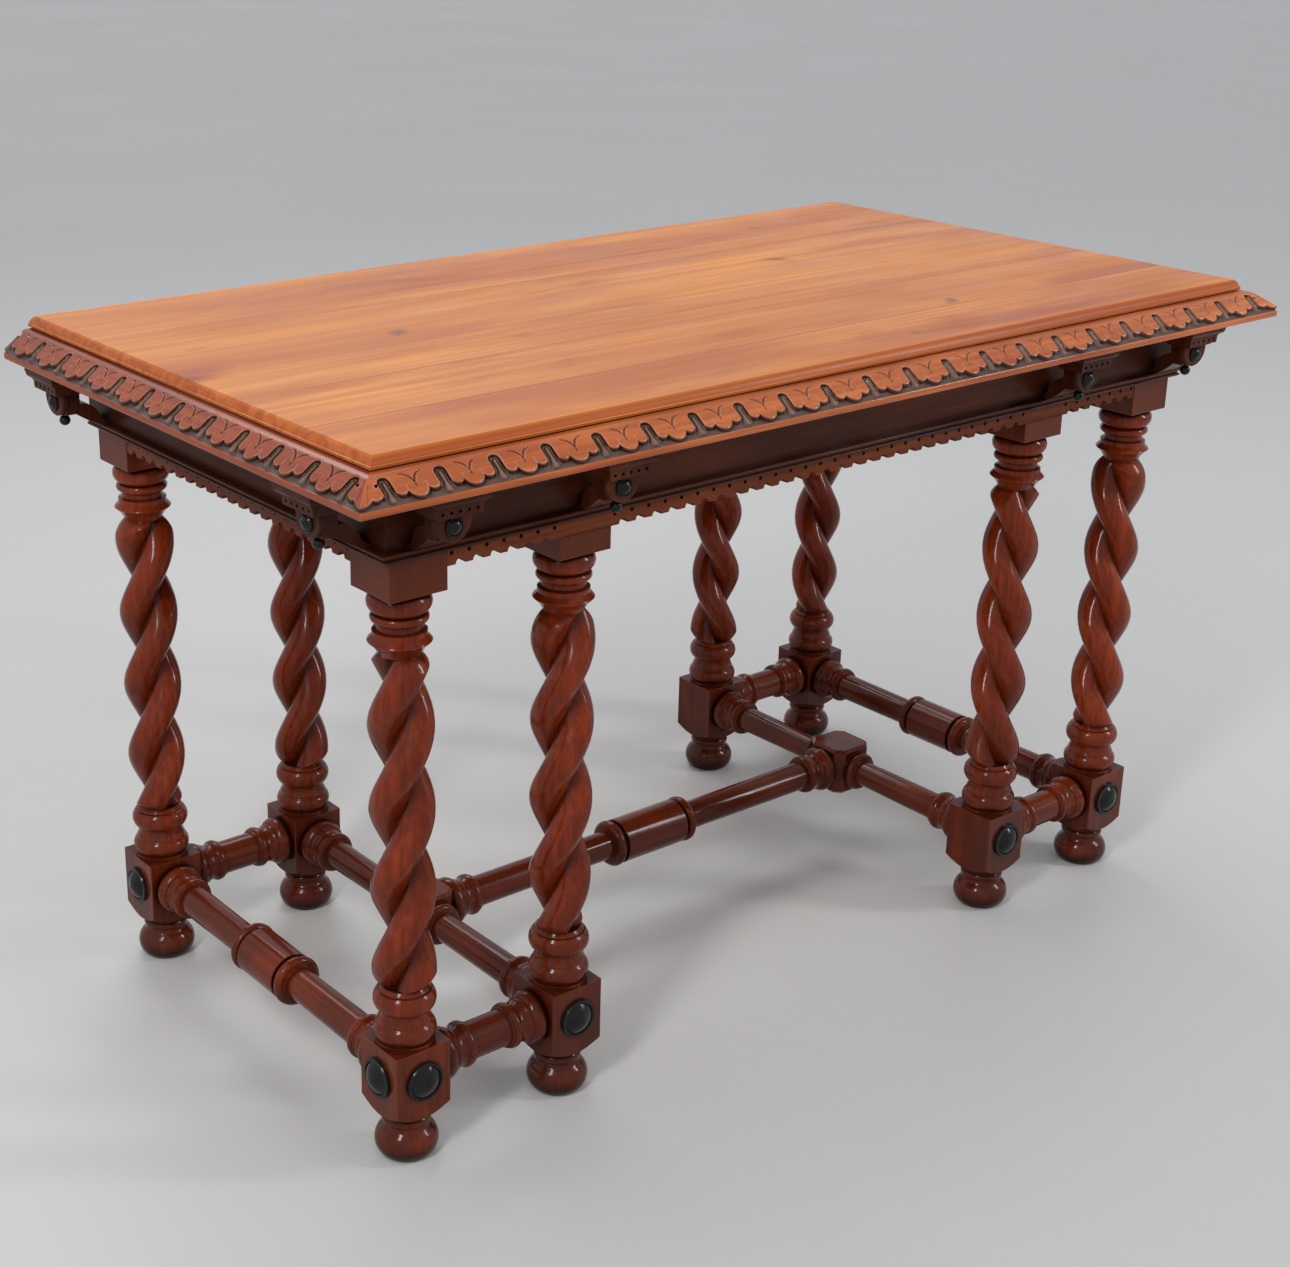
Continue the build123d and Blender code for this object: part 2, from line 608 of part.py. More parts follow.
def save_top():
    """Boards, edge mouldings, frieze and apron."""
    screw_spots = [(x, y) for x in (-BATTEN_X, BATTEN_X) for y in SCREW_YS]
    holes = [screw(x, y, 0.15) for x, y in screw_spots]
    names = ("front", "front_middle", "back_middle", "back")
    for name, board in zip(names, top_boards(holes)):
        save(f"top_board_{name}", board)
    front, left = mitred_mouldings(edge_section, FRIEZE_X, FRIEZE_Y, FRIEZE_INSET + 5, BACK_Y)
    save_three("carved_edge", front, left)
    strip = block(-FRIEZE_X, FRIEZE_X, FRIEZE_Y, BACK_Y, LIP_BOTTOM, BOARD_BOTTOM)
    save("back_edge_strip", strip)
    front, back, left = frieze_rails()
    save_three("frieze", front, left)
    save("frieze_back", back)
    front, left = mitred_mouldings(frieze_moulding_section, FRIEZE_X, FRIEZE_Y, 20.0, FRIEZE_Y)
    save_three("frieze_moulding", front, left)
    save_three("apron", front_apron(), left_apron())
    save("batten_left", batten(-BATTEN_X, holes))
    save("batten_right", batten(BATTEN_X, holes))
    save("glue_blocks", *glue_blocks())
    save("top_screws", *[screw(x, y) for x, y in screw_spots])


def save_three(name, front, left):
    """A front piece, a left one and its mirror image."""
    save(f"{name}_front", front)
    save(f"{name}_left", left)
    save(f"{name}_right", mirror_x(left))


def save_brackets():
    """Four brackets at the front and two on each end; the front left pendant is lost."""
    small = Pos(0, 0, BOSS_Z) * boss(9.6, 7.8, 6.0, SMALL_PIN)
    bosses = []
    pendants = []
    spots = (("left_outer", -LEG_X_OUTER), ("left_inner", -LEG_X_INNER),
             ("right_inner", LEG_X_INNER), ("right_outer", LEG_X_OUTER))
    for name, x in spots:
        save(f"bracket_front_{name}", facing_front(bracket(0.0), x, FRIEZE_Y))
        save(f"bracket_cap_front_{name}", facing_front(bracket_cap(0.0), x, FRIEZE_Y))
        bosses.append(facing_front(small, x, FRIEZE_Y + PLATE_FACE))
        if name != "left_outer":
            pendants.append(facing_front(pendant(), x, FRIEZE_Y + PENDANT_DEPTH))
    for name, y in (("front", -LEG_Y), ("back", LEG_Y)):
        body = facing_left(bracket(END_EXTRA), y, FRIEZE_X)
        cap = facing_left(bracket_cap(END_EXTRA), y, FRIEZE_X)
        knob = facing_left(small, y, FRIEZE_X + PLATE_FACE + END_EXTRA)
        ball = facing_left(pendant(), y, FRIEZE_X + PENDANT_DEPTH + END_EXTRA)
        save(f"bracket_left_{name}", body)
        save(f"bracket_right_{name}", mirror_x(body))
        save(f"bracket_cap_left_{name}", cap)
        save(f"bracket_cap_right_{name}", mirror_x(cap))
        bosses += [knob, mirror_x(knob)]
        pendants += [ball, mirror_x(ball)]
    save("bracket_bosses", *bosses)
    save("bracket_pendants", *pendants)


def save_foot_bosses():
    """Turned bosses on the outward faces of the foot blocks; the back faces are plain."""
    large = Pos(0, 0, STRETCHER_Z) * boss(21.2, 17.4, 10.5, LARGE_PIN)
    front = [facing_front(large, x, LEG_Y + BLOCK_HALF)
             for x in (-LEG_X_OUTER, -LEG_X_INNER, LEG_X_INNER, LEG_X_OUTER)]
    left = [facing_left(large, y, LEG_X_OUTER + BLOCK_HALF) for y in (-LEG_Y, LEG_Y)]
    save("foot_block_bosses", *front, *left, *[mirror_x(piece) for piece in left])


os.makedirs("parts", exist_ok=True)
save_top()
save_brackets()
save_legs()
save_foot_bosses()
save_stretchers()
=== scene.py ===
"""Communion table: looks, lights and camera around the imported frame."""
import math

import bpy
import numpy as np
from mathutils import Matrix, Vector


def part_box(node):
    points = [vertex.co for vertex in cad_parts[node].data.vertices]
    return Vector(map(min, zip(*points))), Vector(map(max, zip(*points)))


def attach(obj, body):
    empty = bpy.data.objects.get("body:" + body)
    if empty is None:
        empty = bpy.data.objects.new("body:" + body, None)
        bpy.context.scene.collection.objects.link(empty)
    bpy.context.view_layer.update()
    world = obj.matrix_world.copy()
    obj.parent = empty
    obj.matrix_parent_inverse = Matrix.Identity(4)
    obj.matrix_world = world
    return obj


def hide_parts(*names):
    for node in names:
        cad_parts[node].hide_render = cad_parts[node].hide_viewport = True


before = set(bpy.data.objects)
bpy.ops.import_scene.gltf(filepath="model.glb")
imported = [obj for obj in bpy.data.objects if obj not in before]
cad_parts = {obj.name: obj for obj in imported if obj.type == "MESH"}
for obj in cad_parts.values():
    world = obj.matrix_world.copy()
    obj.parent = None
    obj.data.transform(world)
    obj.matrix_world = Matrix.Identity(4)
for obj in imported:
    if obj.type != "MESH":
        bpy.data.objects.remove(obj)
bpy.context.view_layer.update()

MM = 0.001

# ---- Carved edge: one leaf and dart, in millimetres ------------------------------
# s runs along the moulding and t down its face, from the foot of the boards to the lip.
LIP_OUT = 32.5                # lip beyond the foot of the boards' edge
FACE_DROP = 23.0              # top of the carving to top of the lip
LIP_EDGE = 1.2
LIP_HEIGHT = 7.0              # plain lip below the carving
BOARD_GROOVE = 3.6            # depth of the shadow groove under the boards' own moulding
LEAF_RISE = 4.7               # leaf surface above the chord of the face
GROUND_SINK = -0.6
SLOT_RADIUS = 5.9
SLOT_RIM = 1.2                # kept clear round the slot next to a corner leaf
SLOT_TOP = 16.2               # centre of the round top of a slot
BAND = 16.0                   # uncut band above the leaves
BAND_CURVE = 13.0             # stretch at its top where it curves up from the boards
CORNER_TO_SLOT = 38.4         # lip corner to the first slot
FRONT_SLOTS = 22
END_SPACES = 11
STEP = 0.62                   # spacing of the modelled surface along the moulding
ROW_STEP = 0.6                # and down its face
SHARP_ANGLE = 50.0            # degrees; sharper folds of the carving stay crisp

# ---- Heights on the legs, metres -----------------------------------------------------
DARKEN_TOP = 0.26              # blotchy darkening fades in below this
DARKEN_FULL = 0.05
CAPITAL_LOW = 0.605           # the capital blocks are browner than the turning
CAPITAL_HIGH = 0.622


# ---- Materials --------------------------------------------------------------------

class Wood:
    """Builder for one material's nodes; axis is the way its grain runs."""

    def __init__(self, name, axis):
        self.material = bpy.data.materials.new(name)
        self.material.use_nodes = True
        self.tree = self.material.node_tree
        self.shader = self.tree.nodes["Principled BSDF"]
        self.place = self.node("ShaderNodeTexCoord").outputs["Object"]
        self.axis = axis

    def node(self, kind, **values):
        """New node; values set its properties or the inputs of that name."""
        made = self.tree.nodes.new(kind)
        for key, value in values.items():
            if hasattr(made, key):
                setattr(made, key, value)
            else:
                made.inputs[key.replace("_", " ")].default_value = value
        return made

    def link(self, source, target):
        """Join an output to an input."""
        self.tree.links.new(source, target)

    def stretched(self, along, across):
        """Coordinates that run slowly along the grain and quickly across it."""
        scale = [across] * 3
        scale["XYZ".index(self.axis)] = along
        mapping = self.node("ShaderNodeMapping")
        mapping.inputs["Scale"].default_value = scale
        self.link(self.place, mapping.inputs["Vector"])
        return mapping.outputs["Vector"]

    def noise(self, along, across, detail, distortion=0.0, seed=0.0):
        """Noise value with its own scale along and across the grain."""
        made = self.node("ShaderNodeTexNoise", noise_dimensions="4D", Scale=1.0, Detail=detail,
                         Distortion=distortion, W=seed)
        self.link(self.stretched(along, across), made.inputs["Vector"])
        return made.outputs["Fac"]

    def span(self, value, low, high, start=0.0, end=1.0):
        """value mapped smoothly from low..high to start..end, clamped."""
        made = self.node("ShaderNodeMapRange", interpolation_type="SMOOTHSTEP")
        for key, number in zip(("From Min", "From Max", "To Min", "To Max"), (low, high, start, end)):
            made.inputs[key].default_value = number
        self.link(value, made.inputs["Value"])
        return made.outputs["Result"]

    def math(self, operation, a, b):
        """Arithmetic on sockets or numbers."""
        made = self.node("ShaderNodeMath", operation=operation)
        for socket, value in zip(made.inputs, (a, b)):
            if isinstance(value, (int, float)):
                socket.default_value = value
            else:
                self.link(value, socket)
        return made.outputs["Value"]

    def blend(self, factor, a, b):
        """Colour mix; a and b are colours or sockets."""
        made = self.node("ShaderNodeMix", data_type="RGBA")
        sockets = (made.inputs[0], made.inputs[6], made.inputs[7])
        for socket, value in zip(sockets, (factor, a, b)):
            if isinstance(value, tuple):
                socket.default_value = value + (1.0,)
            elif isinstance(value, (int, float)):
                socket.default_value = value
            else:
                self.link(value, socket)
        return made.outputs[2]

    def edges(self, radius, strength):
        """1 on worn arrises, 0 on flats: where a rounded normal leaves the true one."""
        bevel = self.node("ShaderNodeBevel", samples=6, Radius=radius)
        geometry = self.node("ShaderNodeNewGeometry")
        dot = self.node("ShaderNodeVectorMath", operation="DOT_PRODUCT")
        self.link(bevel.outputs["Normal"], dot.inputs[0])
        self.link(geometry.outputs["Normal"], dot.inputs[1])
        turned = self.math("SUBTRACT", 1.0, dot.outputs["Value"])
        patches = self.noise(60.0, 90.0, 4.0, seed=7.0)
        worn = self.math("MULTIPLY", self.span(turned, 0.02, 0.3), patches)
        return self.math("MULTIPLY", worn, strength)

    def hollows(self, distance):
        """0 in recesses and 1 in the open."""
        made = self.node("ShaderNodeAmbientOcclusion", samples=8, Distance=distance)
        return made.outputs["AO"]

    def attribute(self, name):
        """Value stored on the mesh under name."""
        return self.node("ShaderNodeAttribute", attribute_name=name).outputs["Fac"]

    def polish(self, specular, coat, coat_roughness):
        """Strength of the reflection, and of the clear coat over it."""
        self.shader.inputs["Specular IOR Level"].default_value = specular
        self.shader.inputs["Coat Weight"].default_value = coat
        self.shader.inputs["Coat Roughness"].default_value = coat_roughness

    def bump(self, height, strength, distance):
        """Surface relief from a height value."""
        made = self.node("ShaderNodeBump", Strength=strength, Distance=distance)
        self.link(height, made.inputs["Height"])
        self.link(made.outputs["Normal"], self.shader.inputs["Normal"])


def by_height(w, colour, seed):
    """Darken the foot of the legs in blotches and turn their capital blocks browner."""
    parts = w.node("ShaderNodeSeparateXYZ")
    w.link(w.place, parts.inputs["Vector"])
    height = parts.outputs["Z"]
    blotches = w.span(w.noise(18.0, 26.0, 4.0, 0.5, seed), 0.3, 0.7, 0.35, 0.8)
    low = w.math("MULTIPLY", w.span(height, DARKEN_TOP, DARKEN_FULL), blotches)
    colour = w.blend(low, colour, (0.042, 0.0115, 0.005))
    high = w.math("MULTIPLY", w.span(height, CAPITAL_LOW, CAPITAL_HIGH), 0.75)
    return w.blend(high, colour, (0.088, 0.0165, 0.004))


def wood(name, axis, dark, light, streak, rough, seed, coat=0.0, wear=0.5, hollow_shade=0.45,
         reach=0.012, tone_by_height=False):
    """Polished wood: drifting colour, streaks along the grain, pores, worn arrises, painted shade in
    hollows.
    """
    w = Wood(name, axis)
    drift = w.span(w.noise(2.2, 14.0, 3.0, 0.6, seed), 0.3, 0.7)
    figure = w.span(w.noise(3.5, 190.0, 5.0, 0.4, seed + 1), 0.32, 0.68)
    pores = w.span(w.noise(42.0, 1500.0, 2.0, 0.0, seed + 2), 0.60, 0.72)
    colour = w.blend(drift, dark, light)
    colour = w.blend(w.math("MULTIPLY", figure, 0.5), colour, streak)
    colour = w.blend(w.math("MULTIPLY", pores, 0.55), colour, tuple(c * 0.35 for c in dark))
    if tone_by_height:
        colour = by_height(w, colour, seed + 6)
    # Painted shade: recesses darken towards near black.
    open_air = w.span(w.hollows(reach), 0.36, 0.95)
    shade = w.math("MULTIPLY", w.math("SUBTRACT", 1.0, open_air), hollow_shade)
    colour = w.blend(shade, colour, tuple(c * 0.12 for c in dark))
    worn = w.edges(0.0012, wear)
    colour = w.blend(worn, colour, tuple(min(1.0, c * 2.2 + 0.02) for c in light))
    w.link(colour, w.shader.inputs["Base Color"])
    smears = w.noise(9.0, 30.0, 4.0, 0.8, seed + 3)
    gloss = w.span(smears, 0.3, 0.7, rough - 0.07, rough + 0.1)
    roughness = w.math("ADD", gloss, w.math("MULTIPLY", worn, 0.3))
    w.link(roughness, w.shader.inputs["Roughness"])
    relief = w.math("ADD", w.math("MULTIPLY", figure, 0.5), w.math("MULTIPLY", pores, -0.8))
    w.bump(relief, 0.25, 0.0002)
    w.polish(0.12, coat, 0.08)
    return w.material


def ebonised(name):
    """Black-stained turned wood with a polish that has dulled in places."""
    w = Wood(name, "Z")
    mottle = w.noise(40.0, 90.0, 4.0, 0.3)
    colour = w.blend(mottle, (0.004, 0.0035, 0.0035), (0.014, 0.012, 0.012))
    colour = w.blend(w.edges(0.0008, 0.4), colour, (0.10, 0.07, 0.055))
    w.link(colour, w.shader.inputs["Base Color"])
    w.link(w.span(mottle, 0.3, 0.7, 0.1, 0.26), w.shader.inputs["Roughness"])
    w.bump(w.noise(60.0, 700.0, 3.0), 0.15, 0.0002)
    w.shader.inputs["Specular IOR Level"].default_value = 0.22
    return w.material


def steel(name):
    """Plain screw steel, slightly tarnished."""
    w = Wood(name, "Z")
    mottle = w.noise(300.0, 300.0, 4.0)
    w.link(w.blend(mottle, (0.22, 0.21, 0.2), (0.42, 0.41, 0.4)), w.shader.inputs["Base Color"])
    w.link(w.span(mottle, 0.3, 0.7, 0.3, 0.55), w.shader.inputs["Roughness"])
    w.bump(mottle, 0.2, 0.0001)
    w.shader.inputs["Metallic"].default_value = 1.0
    return w.material


# Each board of the top has its own place in the noise, so that neighbours differ.
BOARD_SEEDS = {"top_board_front": 61.0, "top_board_front_middle": 64.3,
               "top_board_back_middle": 68.9, "top_board_back": 73.1}

# Colours are linear; dark and light drift over a piece and streak runs along its grain.
HONEY = dict(dark=(0.50, 0.135, 0.018), light=(0.80, 0.30, 0.045), streak=(0.40, 0.085, 0.010))
EDGE = dict(dark=(0.36, 0.075, 0.018), light=(0.60, 0.17, 0.045), streak=(0.21, 0.036, 0.01))
# EDGE_SHADED is EDGE at about half brightness, a painted-shade copy for the end mouldings.
EDGE_SHADED = dict(dark=(0.20, 0.034, 0.011), light=(0.33, 0.066, 0.021), streak=(0.12, 0.018, 0.007))
DEEP = dict(dark=(0.115, 0.014, 0.0035), light=(0.25, 0.034, 0.007), streak=(0.048, 0.006, 0.002))
SOMBRE = dict(dark=(0.048, 0.011, 0.0045), light=(0.12, 0.028, 0.010), streak=(0.026, 0.0065, 0.003))
RUSSET = dict(dark=(0.10, 0.019, 0.006), light=(0.215, 0.047, 0.012), streak=(0.05, 0.0105, 0.004))
RAW = dict(dark=(0.26, 0.15, 0.07), light=(0.42, 0.27, 0.14), streak=(0.18, 0.1, 0.045))


def paint(obj, material):
    """Give every face of an object one material."""
    obj.data.materials.clear()
    obj.data.materials.append(material)


# ---- Carved edge ---------------------------------------------------------------------

FACE_ALONG = LIP_OUT - LIP_EDGE
FACE_LENGTH = math.hypot(FACE_ALONG, FACE_DROP)
DOWN = np.array((FACE_ALONG, -FACE_DROP)) / FACE_LENGTH
OUT = np.array((FACE_DROP, FACE_ALONG)) / FACE_LENGTH


def smooth(low, high, value):
    """Smooth step from 0 at low to 1 at high."""
    x = np.clip((value - low) / (high - low), 0.0, 1.0)
    return x * x * (3.0 - 2.0 * x)


def circle(u, t, centre_u, centre_t, radius):
    """Signed distance to a disc."""
    return np.hypot(u - centre_u, t - centre_t) - radius


def slot_distance(u, t):
    """Distance from the centre line of a slot, which runs down from its round top."""
    return np.hypot(u, np.minimum(t - SLOT_TOP, 0.0))


def stroke(u, t, start, bend, end):
    """Distance to a curved gouge cut, and how far along it the nearest point is."""
    best = np.full(u.shape, 1e9)
    along = np.zeros(u.shape)
    for k in np.linspace(0.0, 1.0, 24):
        a, b, c = (1 - k) ** 2, 2 * k * (1 - k), k * k
        distance = np.hypot(u - a * start[0] - b * bend[0] - c * end[0],
                            t - a * start[1] - b * bend[1] - c * end[1])
        nearer = distance < best
        best = np.where(nearer, distance, best)
        along = np.where(nearer, k, along)
    return best, along


def leaf_distance(u, t):
    """Signed distance to a leaf about u = 0: a band, a body, a middle lobe and two side lobes."""
    body = np.maximum(np.abs(u) - 24.4, t - 24.0)
    side = circle(np.abs(u), t, 17.0, 24.3, 7.8)
    middle = circle(u, t, 0.0, 26.0, 11.4)
    return np.minimum(np.minimum(body, side), np.minimum(middle, t - BAND))


def dart(u, t):
    """Rim and ridged tongue inside a slot, flaring towards the lip: height, and paleness that is part
    wear, part painted highlight.
    """
    flare = 1.0 + 1.3 * smooth(24.0, 37.0, t) ** 1.3
    r = slot_distance(u, t) / flare
    rim = np.exp(-((r - 4.0) / 0.6) ** 2) * (1.0 - smooth(27.0, 33.0, t))
    tongue = np.clip(1.0 - r / 2.6, 0.0, 1.0) ** 0.6
    round_foot = 1.0 - smooth(-0.6, 0.6, t - 37.2 + 0.05 * u * u)
    extent = round_foot * smooth(SLOT_TOP - 5.4, SLOT_TOP - 2.0, t)
    pale = np.maximum(rim, 0.6 * smooth(0.55, 0.95, tongue))
    return np.maximum(3.3 * rim, 4.2 * tongue) * extent, pale * extent


def marks(inside):
    """Dark line of painted shade sunk round a leaf, and the pale rim just within it, part wear, part
    painted highlight.
    """
    line = np.exp(-((inside - 0.4) / 0.95) ** 2)
    rim = np.exp(-((inside + 1.1) / 0.55) ** 2)
    return line, rim


def leaf_height(inside, t):
    """Leaf surface: curved up from the boards and rounded over towards its edge."""
    leaf = LEAF_RISE * (1.0 - np.clip(1.0 - t / BAND_CURVE, 0.0, 1.0) ** 2)
    return leaf - 1.1 * np.clip(1.0 + inside / 2.6, 0.0, 1.0) ** 2


def ground_height(t):
    """Cut-back ground between and below the leaves."""
    return GROUND_SINK * smooth(0.0, 20.0, t) * (1.0 - smooth(34.0, FACE_LENGTH, t))


def relief(u, t, slot_u):
    """Carving at u from the leaf's middle, slot_u from the slot's: height, depth, line, rim."""
    slot = slot_distance(slot_u, t)
    inside = np.maximum(leaf_distance(u, t), SLOT_RADIUS - slot)
    leaf = leaf_height(inside, t)
    line, rim = marks(inside)
    for way in (-1, 1):
        cut, along = stroke(u, t, (11.5 * way, 10.2), (3.5 * way, 11.5), (0.5 * way, 19.8))
        groove = np.clip(1.0 - cut / (0.9 + 0.6 * along), 0.0, 1.0)
        leaf -= 1.5 * groove
        line = np.maximum(line, groove)
        rim = np.maximum(rim, 0.8 * np.exp(-((cut - 1.9) / 0.45) ** 2) * smooth(0.3, 0.8, along))
    cut, _ = stroke(u, t, (0.0, 19.0), (0.0, 22.0), (-0.4, 25.5))
    tail = np.clip(1.0 - cut, 0.0, 1.0)
    leaf -= 1.3 * tail
    line = np.maximum(line, tail)
    raised, pale = dart(slot_u, t)
    ground = ground_height(t) + 1.0 - smooth(8.0, 20.0, t) + raised
    wall = smooth(-0.15, 0.75, inside)
    return np.stack([leaf * (1.0 - wall) + ground * wall, wall, line * (1.0 - pale * wall),
                     np.maximum(rim, pale * wall)])


def corner_relief(distance, t):
    """Folded leaf at distance from the mitre, as relief() gives it."""
    inside = np.minimum(circle(distance, t, 3.0, 25.6, 11.6), np.maximum(distance - 10.5, t - 26.0))
    inside = np.minimum(inside, circle(distance, t, 17.5, 25.4, 7.6))
    inside = np.minimum(inside, t - BAND)
    fold = np.clip(1.0 - np.abs(distance - 0.25 * t), 0.0, 1.0) * smooth(8.0, 14.0, t)
    leaf = leaf_height(inside, t) - 0.9 * fold
    ground = ground_height(t)
    wall = smooth(-0.15, 0.75, inside)
    line, rim = marks(inside)
    return np.stack([leaf * (1.0 - wall) + ground * wall, wall, line, rim])


def carving(s, t, sides):
    """Height, depth, line and rim over the face, with a folded leaf at each mitre."""
    pitch = sides["pitch"]
    phase = (s - sides["first"]) / pitch
    slot_u = (phase - np.round(phase)) * pitch
    leaf_u = (phase - np.floor(phase) - 0.5) * pitch
    shape = relief(leaf_u, t, slot_u)
    for corner, way in (("start", 1), ("end", -1)):
        if not sides[f"mitre_{corner}"]:
            continue
        lip = sides[corner]
        slot = lip + way * CORNER_TO_SLOT
        beyond = way * (slot - s)
        mitre = way * (s - lip) - (FACE_LENGTH - t) * DOWN[0]
        in_slot = slot_distance(beyond, t) < SLOT_RADIUS + SLOT_RIM
        shape = np.where((beyond > 0) & ~in_slot, corner_relief(mitre, t), shape)
    return shape


def section_loop(face, foot, shoulder, board_bottom, lip_bottom):
    """Rest of the moulding's section after the carved face: (distance out, height)."""
    lip = foot + LIP_OUT
    top = lip_bottom + LIP_HEIGHT
    return [
        (lip - 0.35, top - 0.15), (lip, top - 0.8), (lip, top - 3.5), (lip, lip_bottom + 0.6),
        (lip - 0.6, lip_bottom), (lip - 12.0, lip_bottom), (face, lip_bottom), (face, board_bottom),
        (shoulder, board_bottom), (shoulder, top + FACE_DROP),
    ]


def mitred(sides, out, k):
    """Distance along the moulding at fraction k, cut back to the mitre planes."""
    back = sides["foot"] + LIP_OUT - out
    start = sides["start"] + back * sides["mitre_start"]
    end = sides["end"] - back * sides["mitre_end"]
    return start * (1.0 - k) + end * k


def carved_strip(name, sides, to_space, material, flipped):
    """Closed mesh of one moulding; to_space turns (along, out, height) into a point."""
    rows = int(FACE_LENGTH / ROW_STEP)
    t = np.linspace(0.0, FACE_LENGTH, rows)
    loop = np.array(section_loop(sides["face"], sides["foot"], sides["shoulder"], sides["board"],
                                 sides["lip_bottom"]))
    columns = int((sides["end"] - sides["start"]) / STEP)
    k = np.linspace(0.0, 1.0, columns)[:, None]
    chord_out = sides["foot"] + t * DOWN[0]
    chord_up = sides["lip_bottom"] + LIP_HEIGHT + FACE_DROP + t * DOWN[1]
    s = mitred(sides, chord_out, k)
    shape = carving(s, np.broadcast_to(t, s.shape), sides)
    height = shape[0] * smooth(0.0, 3.0, t) * (1.0 - smooth(FACE_LENGTH - 0.9, FACE_LENGTH, t))
    out = chord_out + height * OUT[0]
    up = chord_up + height * OUT[1]
    rest = (columns, len(loop))
    out = np.concatenate([out, np.broadcast_to(loop[:, 0], rest)], axis=1)
    up = np.concatenate([up, np.broadcast_to(loop[:, 1], rest)], axis=1)
    masks = np.concatenate([shape[1:], np.zeros((3,) + rest)], axis=2)
    return mesh_from_grid(name, to_space(mitred(sides, out, k), out, up), masks, material, flipped)


def mesh_from_grid(name, points, masks, material, flipped):
    """Tube of quads closed round its section, with a flat face at each end."""
    columns, around, _ = points.shape
    index = np.arange(columns * around).reshape(columns, around)
    following = np.roll(index, -1, axis=1)
    quads = np.stack([index[:-1], following[:-1], following[1:], index[1:]], axis=-1).reshape(-1, 4)
    faces = quads.tolist() + [index[0][::-1].tolist(), index[-1].tolist()]
    if flipped:
        faces = [face[::-1] for face in faces]
    mesh = bpy.data.meshes.new(name)
    mesh.from_pydata((points.reshape(-1, 3) * MM).tolist(), [], faces)
    for label, mask in zip(("carved_depth", "carved_cut_shade", "carved_rim_wear_and_glint"), masks):
        carved = mesh.attributes.new(label, "FLOAT", "POINT")
        carved.data.foreach_set("value", mask.reshape(-1).astype(np.float32))
    mesh.polygons.foreach_set("use_smooth", [True] * (len(faces) - 2) + [False, False])
    mesh.update()
    obj = bpy.data.objects.new(name, mesh)
    bpy.context.scene.collection.objects.link(obj)
    mesh.set_sharp_from_angle(angle=math.radians(SHARP_ANGLE))
    mesh.materials.append(material)
    return obj


def carved_material(name, axis, seed, dark, light, streak):
    """Polished leaves over a dull, dirty ground, with painted shade in its hollows and along the cuts,
    and pale rims that are part wear, part painted highlight.
    """
    w = Wood(name, axis)
    drift = w.span(w.noise(3.0, 22.0, 3.0, 0.6, seed), 0.3, 0.7)
    figure = w.span(w.noise(8.0, 160.0, 5.0, 0.4, seed + 1), 0.35, 0.65)
    colour = w.blend(drift, dark, light)
    colour = w.blend(w.math("MULTIPLY", figure, 0.45), colour, streak)
    depth = w.attribute("carved_depth")
    dirt = w.blend(w.noise(120.0, 160.0, 4.0, seed=seed), (0.035, 0.025, 0.021), (0.12, 0.092, 0.08))
    colour = w.blend(w.math("MULTIPLY", depth, 0.9), colour, dirt)
    # Painted shade: hollows of the carving darken towards near black.
    shade = w.math("MULTIPLY", w.math("SUBTRACT", 1.0, w.span(w.hollows(0.006), 0.2, 0.8)), 0.7)
    colour = w.blend(shade, colour, (0.008, 0.004, 0.003))
    worn = w.edges(0.0008, 0.75)
    colour = w.blend(worn, colour, (0.6, 0.27, 0.13))
    # Painted shade: near-black lines round the leaves and along the gouge cuts.
    line = w.attribute("carved_cut_shade")
    colour = w.blend(w.math("MULTIPLY", line, 0.95), colour, (0.010, 0.005, 0.004))
    # Pale rims: part wear, part painted highlight.
    rim = w.attribute("carved_rim_wear_and_glint")
    patchy = w.span(w.noise(45.0, 60.0, 3.0, seed=seed + 2), 0.32, 0.6, 0.05, 0.45)
    colour = w.blend(w.math("MULTIPLY", rim, patchy), colour, (0.60, 0.33, 0.22))
    w.link(colour, w.shader.inputs["Base Color"])
    w.link(w.math("ADD", w.span(drift, 0.0, 1.0, 0.26, 0.4), w.math("MULTIPLY", depth, 0.18)),
           w.shader.inputs["Roughness"])
    w.bump(w.noise(50.0, 900.0, 4.0, seed=seed), 0.25, 0.0002)
    w.polish(0.2, 0.22, 0.12)
    return w.material


def middle_y():
    """Y of the middle of the leg rows, which is not the middle of the whole top."""
    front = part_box("leg_front_left_outer")
    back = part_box("leg_back_left_outer")
    return (front[0][1] + back[1][1]) / 2 / MM


